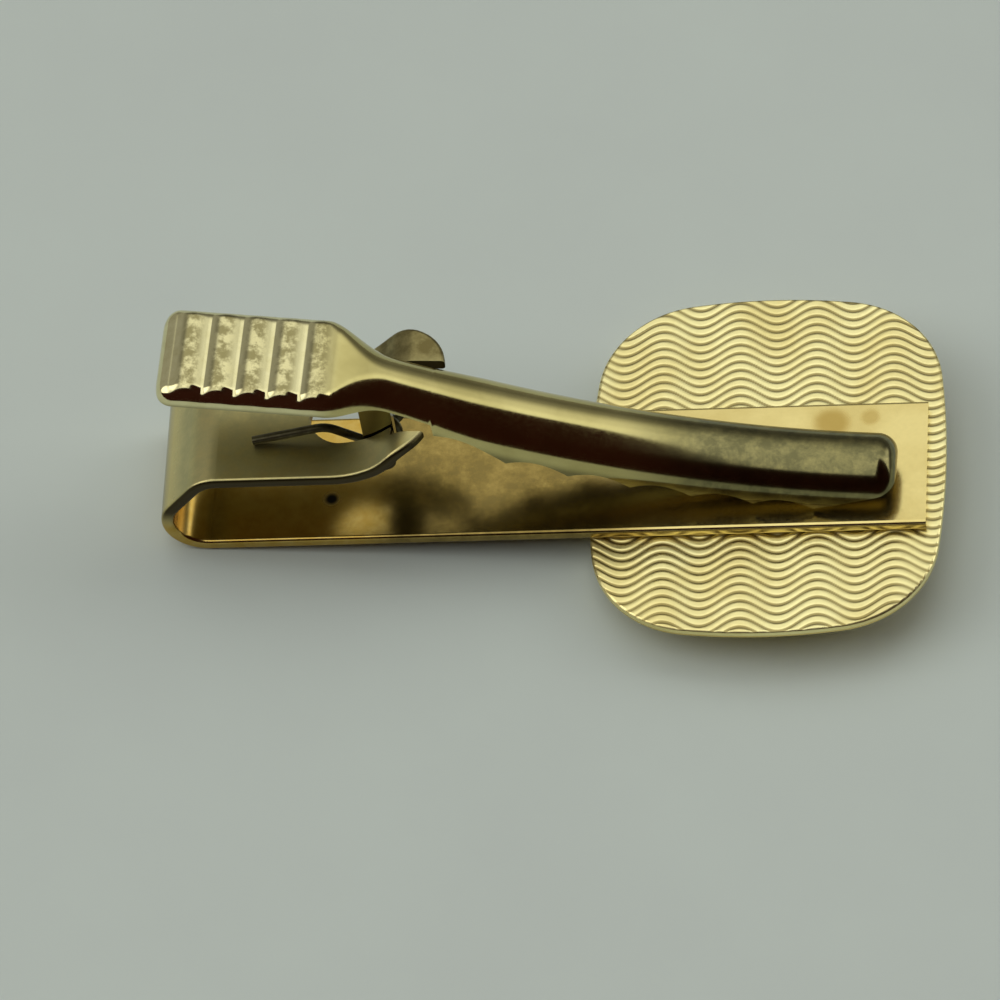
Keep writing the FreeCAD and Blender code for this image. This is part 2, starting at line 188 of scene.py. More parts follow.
# Hinge and spring
pin_diameter = 0.8
pin_running_fit = 0.06
side_fit = 0.1
arm_top = 7.95
wire_diameter = 0.45
coil_fit = 0.1
coil_turns = 1
lower_leg_angle = 42.0
lower_leg_tip = 3.2
lower_leg_bend = 1.2
lower_leg_drop = 8.0
lower_leg_splay = 0.14
upper_leg_angle = 42.0
upper_leg_bend = 1.4
upper_leg_tip = 1.6
leg_gap = 0.03
wire_sides = 14
coil_points = 90
bend_points = 10
wire_sharp_angle = 60.0

# Dark steel of the spring
steel_noise = (1.5, 5, 0.6)
steel_span = (0.3, 0.7)
steel_deep = (0.07, 0.06, 0.03)
steel_pale = (0.16, 0.145, 0.08)
steel_rough = 0.5
steel_smooth = 0.3
steel_metallic = 0.8

# Gilt: clouds of two shades, a fine uneven gloss, patchy painted shade and colour by place, stains and
# painted shade round points, pinholes and relief
cloud_noise = (0.3, 4, 0.55)
cloud_span = (0.38, 0.62)
fine_noise = (5.0, 3, 0.6)
fine_span = (0.3, 0.7)
mottle_noise = (1.2, 5, 0.7)
mottle_span = (0.38, 0.58)
patch_span = (0.3, 0.6)
patch_least = 0.6
# Soft edges and roughness of the marks round points: stains and painted shade
mark_span = (1.7, 0.9)
mark_roughness = 0.5
pit_density = 0.25
pit_span = (0.035, 0.015)
pit_strength = 0.8
relief_strength = 0.05
relief_depth = 0.01

# Darkening by form: brown in the furrows and on the ribs, and painted shade by the way that the sheet faces
groove_span = (0.2, 0.9)
groove_strength = 0.8
crown_span = (0.3, 1)
crown_strength = 0.9
lever_under_span = (0.3, -0.1)
lever_under_strength = 0.9
bar_under_span = (0.7, 0.2)
# Painted shade on faces turned towards the viewer
near_face_shade_span = (-0.4, -0.75)
bar_raised = ("Z", 4.0, 5.5)

# Colours of dirt and stains, and of painted shade and sheen
# Dark brown of the pinholes, and of painted shade round the hinge, round the slot and on the arm's near
# face
dirt_and_shade = (0.06, 0.045, 0.02)
# Painted shade on the downward faces of the lever and of the raised arm
underside_shade = (0.18, 0.15, 0.06)
olive = (0.13, 0.12, 0.055)
# Brown of the stains near the bar's end, and of painted shade on the bar under the lever
stain_and_shade_brown = (0.50, 0.31, 0.05)
rib_brown = (0.26, 0.22, 0.09)
groove_brown = (0.26, 0.19, 0.06)
# Painted shade on the far cheek
cheek_shade_brown = (0.16, 0.125, 0.045)
# Painted shade on the middle of the bar
middle_shade_brown = (0.20, 0.15, 0.05)
# Painted shade on the arm under the pad
arm_shade_gilt = (0.46, 0.42, 0.20)
# Painted sheen on the pad
painted_sheen_gilt = (0.86, 0.79, 0.46)
# Black of a painted shadow deep in the throat
shadow_black = (0.012, 0.010, 0.006)

hinge = frame["joints"][0]
pivot = Vector(hinge["pos_m"]) / mm
across = -Vector(hinge["axis"]).normalized()
up = Vector((0, 0, 1))
along = across.cross(up)
pivot_z = pivot.z

# Colour by place, as (colour, roughness, strength, bands along the axes): painted shade on the arm, the far
# cheek and the bar under the lever, a painted sheen on the pad, and a darker olive tip
on_bar = ("Z", 5.0, 4.0)
# A darker olive towards the jaw's tip
tip_darkening = (olive, 0.16, 0.95, [("X", -8.0, -2.0)])
# A painted sheen: paler, glossier gilt on the pad
pad_painted_sheen = (painted_sheen_gilt, 0.10, 0.95, [("X", -20.0, -22.0)])
# Painted shade: darker, duller gilt on the arm under the pad
arm_painted_shade = (arm_shade_gilt, 0.42, 0.9, [("Z", 5.5, 7.0)])
# Painted shade on the far cheek
cheek_painted_shade = (cheek_shade_brown, 0.3, 0.95, [("Z", 8.1, 8.8), ("Y", 0.8, 2.0)])
# Painted shade on the bar under the arm and the lever
throat_painted_shade = (stain_and_shade_brown, 0.22, 0.9, [("X", -3.0, -11.0), on_bar])
# Painted shade on the middle of the bar under the jaw
middle_painted_shade = (middle_shade_brown, 0.2, 0.9, [("X", -5.0, -9.0), ("X", -20.5, -18.0), on_bar])

# Marks round points, as (colour, marks), with each mark a point, a radius and a strength: painted shade
# round the hinge, the slot and in the throat, and stains near the bar's end
# Painted shade round the hinge, on the lever's ears and neck
hinge_painted_shade = (dirt_and_shade, [(pivot + up, 1.5, 0.95), (pivot + 2.4 * up, 1.1, 0.95)])
# Painted shade on the bar round the slot under the hinge
slot_painted_shade = (dirt_and_shade, [(pivot + 0.2 * up, 1.3, 0.95)])
# A painted black shadow on the bar under the arm
throat_painted_shadow = (shadow_black, [((-21.75, -1.9, bar_top), 0.45, 1)])
end_stains = (stain_and_shade_brown, [((3.2, 1.9, bar_top), 0.9, 0.6), ((5.2, 2.2, bar_top), 0.5, 0.4)])


def smooth_step(x, x0, x1):
    t = min(max((x - x0) / (x1 - x0), 0), 1)
    return t * t * (3 - 2 * t)


def on_lever(s, y, z):
    """A point in the frame, from its place ahead of the pivot and across it, and its level."""
    return pivot + along * s + across * y + up * (z - pivot_z)


def add_piece(name, points, faces, sharp_angle):
    """A smooth closed mesh, with its points in millimetres and its faces turned outwards."""
    mesh = bpy.data.meshes.new(name)
    mesh.from_pydata([p * mm for p in points], [], faces)
    form = bmesh.new()
    form.from_mesh(mesh)
    bmesh.ops.recalc_face_normals(form, faces=form.faces)
    form.to_mesh(mesh)
    form.free()
    mesh.shade_smooth()
    mesh.set_sharp_from_angle(angle=math.radians(sharp_angle))
    piece = bpy.data.objects.new(name, mesh)
    bpy.context.scene.collection.objects.link(piece)
    return piece


# Lever

tooth_last = tooth_first + (tooth_count - 1) * tooth_pitch
tip_to_tooth = jaw_reach - tooth_last
tooth_top = bar_top + jaw_gap + tooth_depth
neck_level = pivot_z + neck_rise
bend_share = (tip_to_tooth / jaw_reach) ** 2
jaw_fall = neck_level - jaw_tip_slope * (jaw_reach - tip_to_tooth) - tooth_top
bent_rise = jaw_fall / (1 - bend_share)
tip_top = neck_level - jaw_tip_slope * jaw_reach - bent_rise


def ridge(s):
    """Level of the lever's top line: a straight pad that runs softly into the curved jaw."""
    u = jaw_reach - s
    jaw = tip_top + jaw_tip_slope * u + bent_rise * (u / jaw_reach) ** 2
    pad = pivot_z + pad_rise - math.tan(math.radians(pad_slope)) * (s + pad_rise_at)
    gap = abs(pad - jaw)
    return min(pad, jaw) - neck_blend * math.log(1 + math.exp(-gap / neck_blend))


def half_width(s):
    pad_to_neck = (neck_width - pad_width) * half * smooth_step(s, -neck_from, -neck_to)
    neck_to_jaw = (jaw_width - neck_width) * half * smooth_step(s, jaw_from, jaw_to)
    return pad_width * half + pad_to_neck + neck_to_jaw


def bowed(s, start, end, bulge):
    """Level on a bowed line between two points (s, z)."""
    t = (s - start[0]) / (end[0] - start[0])
    return start[1] + (end[1] - start[1]) * t + 4 * bulge * t * (1 - t)


def lower_edge(s):
    """Level of the lever's lower edge: rim, shoulder, teeth and tip."""
    def under(place, depth):
        return place, ridge(place) - depth

    if s < -neck_from:
        return ridge(s) - pad_rim_depth
    if s < jaw_from:
        return bowed(s, under(-neck_from, pad_rim_depth), under(jaw_from, rim_depth), tip_bulge)
    if s < shoulder_at:
        return bowed(s, under(jaw_from, rim_depth), under(shoulder_at, rim_depth), 0)
    if s < tooth_first:
        shoulder = under(shoulder_at, rim_depth + shoulder_height * half)
        return bowed(s, shoulder, under(tooth_first, tooth_depth), shoulder_bulge)
    if s < tooth_last:
        tooth = tooth_first + tooth_pitch * math.floor((s - tooth_first) / tooth_pitch)
        return bowed(s, under(tooth, tooth_depth), under(tooth + tooth_pitch, tooth_depth), scallop_depth)
    tip = (jaw_reach + tip_overrun, ridge(jaw_reach) - tip_wall)
    return bowed(s, under(tooth_last, tooth_depth), tip, tip_bulge)


def drawn_in(s, inset):
    """How far the rounded ends draw the section in."""
    past_pad = -s - (pad_reach - pad_end_round)
    past_jaw = s - (jaw_reach - jaw_end_round)
    for past, end_round in ((past_pad, pad_end_round), (past_jaw, jaw_end_round)):
        if past > 0:
            r = end_round - inset
            return r - math.sqrt(max(r * r - past * past, 0))
    return 0


def rib_height(s, y):
    """Height of the pad's cross ribs, which fade towards both sides."""
    place = (s + pad_reach - rib_first) / rib_pitch
    nearest = min(max(round(place), 0), rib_count - 1)
    off = (place - nearest) / half
    crown = max(1 - off * off, 0)
    return rib_proud * crown * (1 - smooth_step(abs(y), rib_flat, rib_end))


def half_section(s, inset):
    """Half of the section across the lever, from its ridge down to its lower edge, as points (y, z)."""
    drawn = drawn_in(s, inset)
    full = half_width(s)
    w = full - inset - drawn
    to_neck = smooth_step(s, -neck_from, -neck_to)
    corner = pad_corner + (full * jaw_round_share - pad_corner) * to_neck - inset
    corner = corner * w / (full - inset)
    top = ridge(s) - inset - drawn
    flat = w - corner
    depth = max(top - lower_edge(s), edge_break)
    if depth < corner:
        total = flat + corner * math.acos(1 - depth / corner)
    else:
        total = flat + corner * math.pi * half + depth - corner

    def at(t):
        a = min(max(t - flat, 0) / corner, math.pi * half)
        below = max(t - flat - corner * math.pi * half, 0)
        y = min(t, flat) + corner * math.sin(a)
        z = top - corner * (1 - math.cos(a)) - below
        return y, z + (rib_height(s, y) if inset == 0 else 0)

    points = [at((total - edge_break * half) * i / side_points) for i in range(side_points + 1)]
    return points, at(total)


def pad_end(inset):
    """Where a skin of the pad's rounded end comes down to the rim's lower edge."""
    r = pad_end_round - inset
    low = r - (pad_rim_depth - inset - edge_break)
    return pad_end_round - pad_reach - math.sqrt(r * r - max(low, 0) ** 2)


def lever_stations():
    """Places of the sections along the lever, closer together on its rounded ends."""
    pad_from = pad_end_round - pad_reach
    jaw_end = jaw_reach - jaw_end_round
    knees = [pad_from, shoulder_at - shoulder_step, shoulder_at + shoulder_step]
    knees += [tooth_first + tooth_pitch * i for i in range(tooth_count)] + [jaw_end]
    places = []
    for a, b in zip(knees, knees[1:]):
        count = max(math.ceil((b - a) / lever_step), 1)
        places += [a + (b - a) * i / count for i in range(count)]
    places.append(jaw_end)
    steps = [(i + 1) / end_rows for i in range(end_rows)]
    pad_turn = math.asin(min((pad_from - pad_end(0)) / pad_end_round, 1))
    pad_rows = [pad_from - pad_end_round * math.sin(pad_turn * t) for t in reversed(steps)]
    jaw_rows = [jaw_end + jaw_end_round * math.sin(math.pi * half * t) for t in steps]
    return pad_rows + places + jaw_rows


def drawn_along(s, inset):
    """The inner skin's place for a section, drawn in from both ends."""
    from_pad = s - pad_end(0)
    from_jaw = jaw_reach - s
    if from_pad < end_zone:
        return s + (pad_end(inset) - pad_end(0)) * (1 - from_pad / end_zone)
    if from_jaw < end_zone:
        return s - inset * (1 - from_jaw / end_zone)
    return s


def lever_loop(s):
    """Closed loop round the sheet at one place: outer skin, far edge, inner skin, near edge."""
    inner_s = drawn_along(s, lever_sheet)
    outer, outer_end = half_section(s, 0)
    inner, inner_end = half_section(inner_s, lever_sheet)
    a = Vector((s, *outer_end))
    b = Vector((inner_s, *inner_end))
    chamfer = (b - a).normalized() * edge_break
    far = [Vector((s, y, z)) for y, z in outer] + [a + chamfer, b - chamfer]
    far += [Vector((inner_s, y, z)) for y, z in reversed(inner)]
    near = [Vector((p.x, -p.y, p.z)) for p in far]
    outer_count = side_points + 1
    loop = near[outer_count - 1:0:-1] + far + near[-2:outer_count - 1:-1]
    return [on_lever(*p) for p in loop]


def add_lever():
    loops = [lever_loop(s) for s in lever_stations()]
    points = [p for loop in loops for p in loop]
    size = len(loops[0])
    faces = []
    for i in range(len(loops) - 1):
        for j in range(size):
            a = i * size + j
            b = i * size + (j + 1) % size
            faces.append((a, b, b + size, a + size))
    # Close both ends: fill each skin's section across, then the strip between their edges
    span = 2 * side_points
    for first in (0, len(loops) * size - size):
        outer = [first + j for j in range(span + 1)]
        edge = [first + span + 1, first + span + 2]
        inner = [first + span + 3 + j for j in range(span + 1)]
        back_edge = [first + size - 2, first + size - 1]
        for ring in (outer, inner):
            for j in range(side_points):
                k = span - j
                faces.append((ring[j], ring[j + 1], ring[k - 1], ring[k]) if j + 1 < k - 1
                             else (ring[j], ring[j + 1], ring[k]))
        faces.append((outer[0], outer[-1], edge[0], back_edge[1]))
        faces.append((back_edge[1], edge[0], edge[1], back_edge[0]))
        faces.append((back_edge[0], edge[1], inner[0], inner[-1]))
    for y in (ear_spread * half - lever_sheet, -ear_spread * half):
        add_ear(points, faces, y, y + lever_sheet)
    piece = add_piece("clip_lever", points, faces, lever_sharp_angle)
    crown = piece.data.attributes.new("crown", "FLOAT", "POINT")
    for i, p in enumerate(points):
        s = (p - pivot).dot(along)
        y = (p - pivot).dot(across)
        crown.data[i].value = rib_height(s, y) / rib_proud if p.z > ridge(s) - edge_break else 0
    return piece


def add_ear(points, faces, y0, y1):
    """An ear of the lever: a plate from the neck down round the pin, with its bore."""
    r = ear_radius
    outline = []
    for i in range(2 * ear_steps):
        a = math.pi + math.pi * i / (2 * ear_steps)
        outline.append((r * math.cos(a), pivot_z + r * math.sin(a)))
    rise = lower_edge(r) + ear_sink - pivot_z
    outline += [(r, pivot_z + rise * i / ear_steps) for i in range(ear_steps)]
    for i in range(ear_steps):
        s = r - 2 * r * i / ear_steps
        outline.append((s, lower_edge(s) + ear_sink))
    rise = lower_edge(-r) + ear_sink - pivot_z
    outline += [(-r, pivot_z + rise * (ear_steps - i) / ear_steps) for i in range(ear_steps)]
    bore = pin_diameter * half + pin_running_fit
    rings = []
    for y in (y0, y1):
        rings.append([on_lever(s, y, z) for s, z in outline])
        angles = [math.atan2(z - pivot_z, s) for s, z in outline]
        rings.append([on_lever(bore * math.cos(a), y, pivot_z + bore * math.sin(a)) for a in angles])
    order = [rings[0], rings[2], rings[3], rings[1]]
    first = len(points)
    count = len(outline)
    points += [p for ring in order for p in ring]
    for k in range(len(order)):
        for i in range(count):
            j = (i + 1) % count
            a = first + k * count
            b = first + (k + 1) % len(order) * count
            faces.append((a + i, a + j, b + j, b + i))


# Back plate

def quarter_outline(inset):
    """Arcs of a quarter of the cushion outline as (centre, radius, from angle, to angle)."""
    end_x = plate_length * half - inset
    side_y = plate_width * half - inset
    cx = end_x - plate_end_bow
    cy = side_y - plate_side_bow
    end_radius = (cy * cy + plate_end_bow ** 2) / (2 * plate_end_bow)
    side_radius = (cx * cx + plate_side_bow ** 2) / (2 * plate_side_bow)
    r = plate_corner_radius - inset
    end_centre = Vector((end_x - end_radius, 0))
    side_centre = Vector((0, side_y - side_radius))
    way = side_centre - end_centre
    d = way.length
    reach = ((end_radius - r) ** 2 - (side_radius - r) ** 2 + d * d) / (2 * d)
    rise = math.sqrt((end_radius - r) ** 2 - reach ** 2)
    normal = Vector((-way.y, way.x)) / d
    corner = end_centre + way * (reach / d) + normal * rise
    end_turn = math.atan2(corner.y - end_centre.y, corner.x - end_centre.x)
    side_turn = math.atan2(corner.y - side_centre.y, corner.x - side_centre.x)
    middle = (end_turn + side_turn) * half
    return {
        "end": [(end_centre, end_radius, 0, end_turn), (corner, r, end_turn, middle)],
        "side": [(corner, r, middle, side_turn), (side_centre, side_radius, side_turn, math.pi * half)],
    }


def spaced(arcs, count):
    """Points along a run of arcs, evenly spaced."""
    lengths = [r * (b - a) for _, r, a, b in arcs]
    total = sum(lengths)
    points = []
    for i in range(count + 1):
        t = total * i / count
        for (centre, r, a, b), length in zip(arcs, lengths):
            if t <= length + total * rounding:
                turn = a + t / r
                points.append(centre + Vector((math.cos(turn), math.sin(turn))) * r)
                break
            t -= length
    return points


def cushion_sides(inset):
    """The outline's right side from low to high, and its top side from left to right."""
    arcs = quarter_outline(inset)
    rising = spaced(arcs["end"], back_rows // 2)
    leaving = spaced(arcs["side"], back_columns // 2)
    right = [Vector((p.x, -p.y)) for p in reversed(rising)] + rising[1:]
    top = [Vector((-p.x, p.y)) for p in leaving] + list(reversed(leaving))[1:]
    return right, top


def cushion_ring(inset):
    """The whole outline, anticlockwise from its lower left corner."""
    right, top = cushion_sides(inset)
    ring = [Vector((p.x, -p.y)) for p in top[:-1]] + right[:-1]
    ring += list(reversed(top))[:-1]
    ring += [Vector((-p.x, p.y)) for p in reversed(right)][:-1]
    return ring


def cushion_grid(inset):
    """Rows of points that fill the cushion, evenly spread from side to side."""
    right, top = cushion_sides(inset)
    corner = top[-1]
    grid = []
    for j, side in enumerate(right):
        v = 2 * j / back_rows - 1
        row = []
        for i, upper in enumerate(top):
            u = 2 * i / back_columns - 1
            row.append(Vector((upper.x + u * side.x - u * corner.x, v * upper.y + side.y - v * corner.y)))
        grid.append(row)
    return grid


def furrow(x, y):
    """How deep the engine turning lies below the plate's top, from 0 on the lands to 1 in the grooves."""
    turn = math.radians(turning_angle)
    along_rows = x * math.cos(turn) + y * math.sin(turn)
    over_rows = y * math.cos(turn) - x * math.sin(turn)
    wave = wave_swing * math.cos(math.tau * (along_rows - wave_crest) / wave_length)
    swing = half * (1 - math.cos(math.tau * (over_rows - wave) / furrow_pitch + furrow_phase))
    return smooth_step(swing, furrow_land, 1)


def add_back_plate():
    top = cushion_grid(back_edge_round)
    columns = back_columns + 1
    points = []
    faces = []
    for row in top:
        for p in row:
            points.append(Vector((p.x, p.y, back_level - furrow_depth * furrow(p.x, p.y))))
    for j in range(back_rows):
        for i in range(back_columns):
            a = j * columns + i
            faces.append((a, a + 1, a + columns + 1, a + columns))
    ring = list(range(back_columns))
    ring += [j * columns + back_columns for j in range(back_rows)]
    ring += [back_rows * columns + i for i in range(back_columns, 0, -1)]
    ring += [j * columns for j in range(back_rows, 0, -1)]
    levels = []
    for i in range(1, edge_steps + 1):
        a = math.pi * half * i / edge_steps
        inset = back_edge_round * (1 - math.sin(a))
        levels.append((inset, back_level - furrow_depth - back_edge_round * (1 - math.cos(a))))
    levels.append((0, face_height))
    for inset, z in levels:
        first = len(points)
        points += [Vector((p.x, p.y, z)) for p in cushion_ring(inset)]
        count = len(points) - first
        for i in range(count):
            k = (i + 1) % count
            faces.append((ring[i], ring[k], first + k, first + i))
        ring = list(range(first, first + count))
    faces.append(tuple(reversed(ring)))
    plate = add_piece("clip_back_plate", points, faces, plate_sharp_angle)
    depth = plate.data.attributes.new("furrow", "FLOAT", "POINT")
    for i, p in enumerate(points):
        depth.data[i].value = furrow(p.x, p.y) if p.z > back_level - 2 * furrow_depth else 0
    return plate


# Torsion spring

def turned(vector, angle):
    """A direction swung about the cross axis of the hinge."""
    return Matrix.Rotation(math.radians(angle), 3, "Y") @ vector


def bend(corner_from, way_from, corner_to, way_to):
    """Points on a round bend between two straight runs, without its ends."""
    reach = (corner_to - corner_from).length * half
    reach /= math.cos(way_from.angle(way_to) * half)
    corner = corner_from + way_from * reach
    points = []
    for i in range(1, bend_points):
        t = i / bend_points
        points.append(corner_from * (1 - t) ** 2 + corner * (2 * t * (1 - t)) + corner_to * t * t)
    return points


def spring_path():
    """Middle line of the wire: lower leg, coil, upper leg, as places (s, y, z) on the hinge."""
    r = (pin_diameter + wire_diameter) * half + coil_fit
    y_end = ear_spread * half - lever_sheet - side_fit - wire_diameter * half
    a0 = math.pi * 3 * half - math.radians(lower_leg_angle)
    a1 = math.pi * half - math.radians(upper_leg_angle) + math.tau * (coil_turns + 1)
    sweep = a1 - a0
    lead = lower_leg_splay * sweep * r

    def on_coil(t):
        a = a0 + sweep * t
        y = -y_end + 2 * y_end * t * t * (3 - 2 * t) + lead * t * (1 - t) ** 2
        pace = 12 * y_end * t * (1 - t) + lead * (1 - t) * (1 - 3 * t)
        place = Vector((r * math.cos(a), y, pivot_z + r * math.sin(a)))
        way = Vector((-r * sweep * math.sin(a), pace, r * sweep * math.cos(a)))
        return place, way.normalized()

    coil = [on_coil(i / coil_points) for i in range(coil_points + 1)]
    first, first_way = coil[0]
    drop = lower_leg_angle + lower_leg_drop
    toe_way = turned(first_way, -drop)
    turn_run = lower_leg_bend * math.tan(math.radians(drop * half))
    toe_level = arm_top + leg_gap + wire_diameter * half * math.cos(math.radians(lower_leg_drop))
    knee_level = toe_level + toe_way.z * lower_leg_tip + (toe_way.z + first_way.z) * turn_run
    knee = first + first_way * ((knee_level - first.z) / first_way.z)
    foot = knee - (first_way + toe_way) * turn_run
    toe = foot - toe_way * lower_leg_tip

    last, last_way = coil[-1]
    crook_turn = upper_leg_angle - pad_slope
    rest_way = turned(last_way, -crook_turn)
    turn_run = upper_leg_bend * math.tan(math.radians(crook_turn * half))
    slope = math.radians(pad_slope)
    pad_up = Vector((math.sin(slope), 0, math.cos(slope)))
    underside = Vector((-pad_rise_at, 0, pivot_z + pad_rise - lever_sheet))
    short_of_pad = (underside - last).dot(pad_up) - wire_diameter * half - leg_gap
    crook = last + last_way * (short_of_pad / last_way.dot(pad_up) - turn_run)
    rest = crook + (last_way + rest_way) * turn_run

    path = [toe, foot] + bend(foot, toe_way, knee, first_way) + [knee]
    path += [place for place, _ in coil] + [crook]
    path += bend(crook, last_way, rest, rest_way) + [rest, rest + rest_way * upper_leg_tip]
    return path


def add_spring():
    path = spring_path()
    radius = wire_diameter * half
    ways = [(b - a).normalized() for a, b in zip(path, path[1:])]
    tangents = [ways[0]] + [(a + b).normalized() for a, b in zip(ways, ways[1:])] + [ways[-1]]
    side = tangents[0].cross(up).normalized()
    points = []
    for place, tangent in zip(path, tangents):
        side = (side - tangent * side.dot(tangent)).normalized()
        other = tangent.cross(side)
        for i in range(wire_sides):
            a = math.tau * i / wire_sides
            p = place + side * (radius * math.cos(a)) + other * (radius * math.sin(a))
            points.append(on_lever(*p))
    faces = []
    for k in range(len(path) - 1):
        for i in range(wire_sides):
            j = (i + 1) % wire_sides
            a = k * wire_sides
            faces.append((a + i, a + j, a + wire_sides + j, a + wire_sides + i))
    last = (len(path) - 1) * wire_sides
    faces.append(tuple(range(wire_sides)))
    faces.append(tuple(last + i for i in range(wire_sides)))
    return add_piece("clip_spring", points, faces, wire_sharp_angle)


# Materials

def new_material(name):
    material = bpy.data.materials.new(name)
    material.use_nodes = True
    nodes = material.node_tree.nodes
    return material, nodes, material.node_tree.links, nodes["Principled BSDF"]


def noise(nodes, links, place, scale, detail, roughness):
    """Noise over the object's own coordinates. Scale counts features per millimetre."""
    node = nodes.new("ShaderNodeTexNoise")
    node.inputs["Scale"].default_value = scale / mm
    node.inputs["Detail"].default_value = detail
    node.inputs["Roughness"].default_value = roughness
    links.new(place, node.inputs["Vector"])
    return node.outputs["Fac"]


def ramp(nodes, links, factor, stops):
    """Colours or greys along a factor, as (position, colour)."""
    node = nodes.new("ShaderNodeValToRGB")
    node.color_ramp.elements[0].position = stops[0][0]
    node.color_ramp.elements[0].color = (*stops[0][1], 1)
    node.color_ramp.elements[1].position = stops[-1][0]
    node.color_ramp.elements[1].color = (*stops[-1][1], 1)
    for position, colour in stops[1:-1]:
        node.color_ramp.elements.new(position).color = (*colour, 1)
    links.new(factor, node.inputs["Fac"])
    return node.outputs["Color"]


def grey(value):
    return (value, value, value)


def mixed(nodes, links, factor, a, b):
    """Two colours mixed by a factor. Each is a colour or an output."""
    node = nodes.new("ShaderNodeMix")
    node.data_type = "RGBA"
    links.new(factor, node.inputs["Factor"])
    colours = [s for s in node.inputs if s.type == "RGBA"]
    for socket, value in zip(colours, (a, b)):
        if isinstance(value, tuple):
            socket.default_value = (*value, 1)
        else:
            links.new(value, socket)
    return [s for s in node.outputs if s.type == "RGBA"][0]


def computed(nodes, links, operation, *values):
    """A number worked out from outputs and constants."""
    node = nodes.new("ShaderNodeMath")
    node.operation = operation
    for socket, value in zip(node.inputs, values):
        if isinstance(value, (int, float)):
            socket.default_value = value
        else:
            links.new(value, socket)
    return node.outputs["Value"]


def eased(nodes, links, value, low, high, top=1):
    """Rises smoothly from 0 to a top as a value goes from low to high."""
    node = nodes.new("ShaderNodeMapRange")
    node.interpolation_type = "SMOOTHSTEP"
    node.inputs["From Min"].default_value = low
    node.inputs["From Max"].default_value = high
    node.inputs["To Max"].default_value = top
    links.new(value, node.inputs["Value"])
    return node.outputs["Result"]


def marked(nodes, links, place, ragged, marks):
    """Soft-edged marks round some points, stains and painted shade, as (point, radius, strength), joined in
    one mask.
    """
    mask = None
    for point, radius, strength in marks:
        away = nodes.new("ShaderNodeVectorMath")
        away.operation = "DISTANCE"
        links.new(place, away.inputs[0])
        away.inputs[1].default_value = Vector(point) * mm
        frayed = computed(nodes, links, "MULTIPLY_ADD", ragged, radius * mm, away.outputs["Value"])
        rim, core = (radius * share * mm for share in mark_span)
        mark_mask = eased(nodes, links, frayed, rim, core, strength)
        mask = mark_mask if mask is None else computed(nodes, links, "MAXIMUM", mask, mark_mask)
    return mask


def banded(nodes, links, place, bands):
    """A mask from smooth steps along the axes, as (axis, low, high) in millimetres, all multiplied."""
    axes = nodes.new("ShaderNodeSeparateXYZ")
    links.new(place, axes.inputs["Vector"])
    mask = None
    for axis, low, high in bands:
        step = eased(nodes, links, axes.outputs[axis], low * mm, high * mm)
        mask = step if mask is None else computed(nodes, links, "MULTIPLY", mask, step)
    return mask


def facing(nodes, links):
    """Parts along the axes of the way that the surface faces."""
    axes = nodes.new("ShaderNodeSeparateXYZ")
    links.new(nodes.new("ShaderNodeNewGeometry").outputs["Normal"], axes.inputs["Vector"])
    return axes.outputs


def browned_grooves(nodes, links, colour):
    """Brown in the grooves of the engine turning."""
    depth = nodes.new("ShaderNodeAttribute")
    depth.attribute_name = "furrow"
    low = eased(nodes, links, depth.outputs["Fac"], *groove_span, groove_strength)
    return mixed(nodes, links, low, colour, groove_brown)


def painted_bar_shade(nodes, links, place, colour):
    """Painted shade on the near face of the raised arm, which faces the viewer, and on its underside."""
    way = facing(nodes, links)
    raised = banded(nodes, links, place, [bar_raised])
    # Painted shade on the arm's downward faces
    under = eased(nodes, links, way["Z"], *bar_under_span)
    under = computed(nodes, links, "MULTIPLY", under, raised)
    # Painted shade on the arm's near face, which faces the viewer
    edge = eased(nodes, links, way["Y"], *near_face_shade_span)
    colour = mixed(nodes, links, computed(nodes, links, "MULTIPLY", edge, raised), colour, dirt_and_shade)
    under = computed(nodes, links, "SUBTRACT", under, edge)
    return mixed(nodes, links, under, colour, underside_shade)


def lever_shade_and_ribs(nodes, links, mottle, colour):
    """Painted shade on the underside, and brown patches on the crowns of the ribs."""
    # Painted shade on the lever's downward faces
    under = eased(nodes, links, facing(nodes, links)["Z"], *lever_under_span, lever_under_strength)
    colour = mixed(nodes, links, under, colour, underside_shade)
    crown = nodes.new("ShaderNodeAttribute")
    crown.attribute_name = "crown"
    worn = eased(nodes, links, crown.outputs["Fac"], *crown_span, crown_strength)
    worn = computed(nodes, links, "MULTIPLY", worn, eased(nodes, links, mottle, *mottle_span))
    return mixed(nodes, links, worn, colour, rib_brown)


